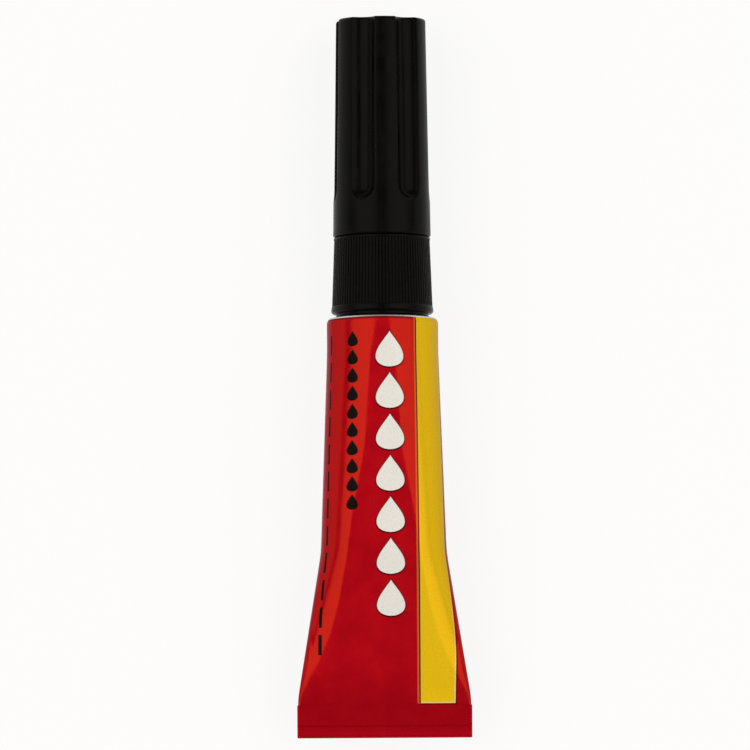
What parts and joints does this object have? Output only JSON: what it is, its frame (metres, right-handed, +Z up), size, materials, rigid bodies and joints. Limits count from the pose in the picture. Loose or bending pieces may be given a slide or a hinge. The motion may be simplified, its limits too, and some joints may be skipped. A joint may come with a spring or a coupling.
{
  "type": "super glue tube",
  "caption": "Small crimped aluminium adhesive tube with a ribbed screw-on nozzle, a tapered spout and a tall fluted screw cap that holds an anti-clog pin.",
  "frame": {"origin": "under the middle of the tube's length and width, on the surface that the round end of the sleeve lies on", "axes": "+Y along the tube from its folded tail to its cap, +Z up out of the printed face, +X to the right of that face seen with the cap at the top"},
  "size_m": [0.0212, 0.0874, 0.0135],
  "materials": {
    "printed_aluminium": "gloss",
    "latex": "matte",
    "liquid_glue": "gloss",
    "nozzle_plastic": "satin",
    "cap_plastic": "satin",
    "pin_steel": "polished"
  },
  "bodies": {
    "tube": {"aluminium_tube": "printed_aluminium", "tail_sealant": "latex", "glue_fill": "liquid_glue"},
    "nozzle": {"nozzle": "nozzle_plastic"},
    "cap_pin": {"cap_pin": "pin_steel"},
    "cap": {"cap": "cap_plastic"}
  },
  "joints": [
    {"name": "nozzle_lift", "type": "slide", "parent": "tube", "child": "nozzle", "axis": [0, 1, 0], "range_m": [0, 0.009]},
    {"name": "cap_lift", "type": "slide", "parent": "nozzle", "child": "cap_pin", "axis": [0, 1, 0], "range_m": [0, 0.028]},
    {"name": "cap_turn", "type": "hinge", "parent": "cap_pin", "child": "cap", "pos_m": [0, 0.035, 0.00675], "axis": [0, 1, 0], "range_deg": [0, 630]}
  ]
}
